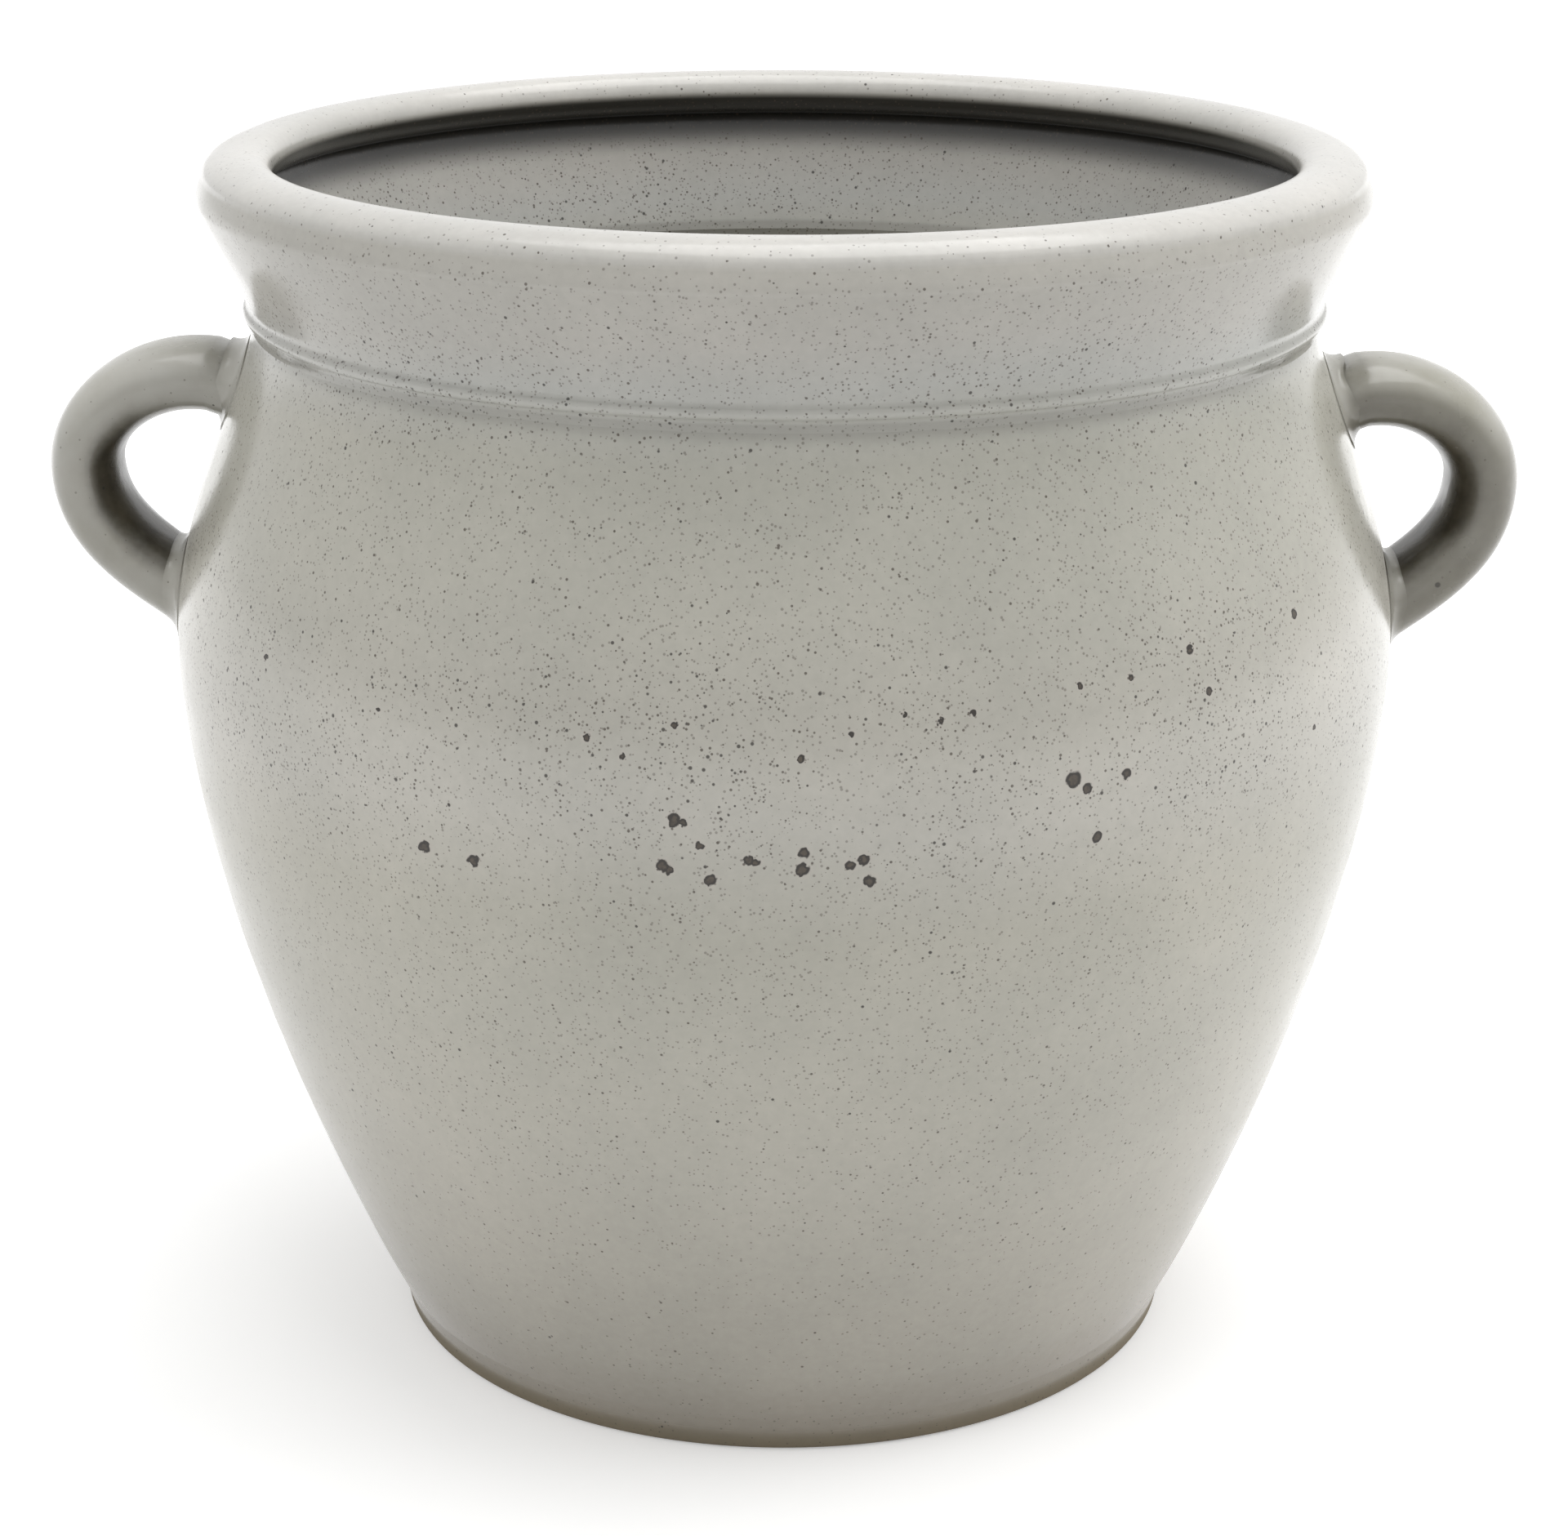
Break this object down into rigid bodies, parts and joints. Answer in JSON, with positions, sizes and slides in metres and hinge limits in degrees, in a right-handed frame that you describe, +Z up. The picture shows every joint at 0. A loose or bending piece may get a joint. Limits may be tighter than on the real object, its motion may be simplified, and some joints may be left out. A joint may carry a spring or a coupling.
{
  "type": "two-handled stoneware flowerpot",
  "caption": "Bellied stoneware flowerpot with a flared collar, a rolled rim, a flat foot with a drain hole and a strap handle on each side of the shoulder.",
  "frame": {"origin": "centre of the foot, on the ground", "axes": "+Z up along the pot's axis, +X towards the right handle, -Y towards the viewer of the front"},
  "size_m": [0.346, 0.288, 0.286],
  "materials": {
    "foot_clay": "unglazed fired clay, matt",
    "body_glaze": "glossy pale grey glaze with iron specks",
    "rim_glaze": "glossy light grey glaze",
    "handle_glaze": "glossy grey glaze, browner where it is thin"
  },
  "bodies": {
    "root": {"base_slab": "foot_clay", "lower_wall": "body_glaze", "shoulder_wall": "body_glaze", "neck_collar": "body_glaze", "rolled_rim": "rim_glaze", "left_handle": "handle_glaze", "left_upper_pad": "handle_glaze", "left_lower_pad": "handle_glaze", "right_handle": "handle_glaze", "right_upper_pad": "handle_glaze", "right_lower_pad": "handle_glaze"}
  },
  "joints": []
}
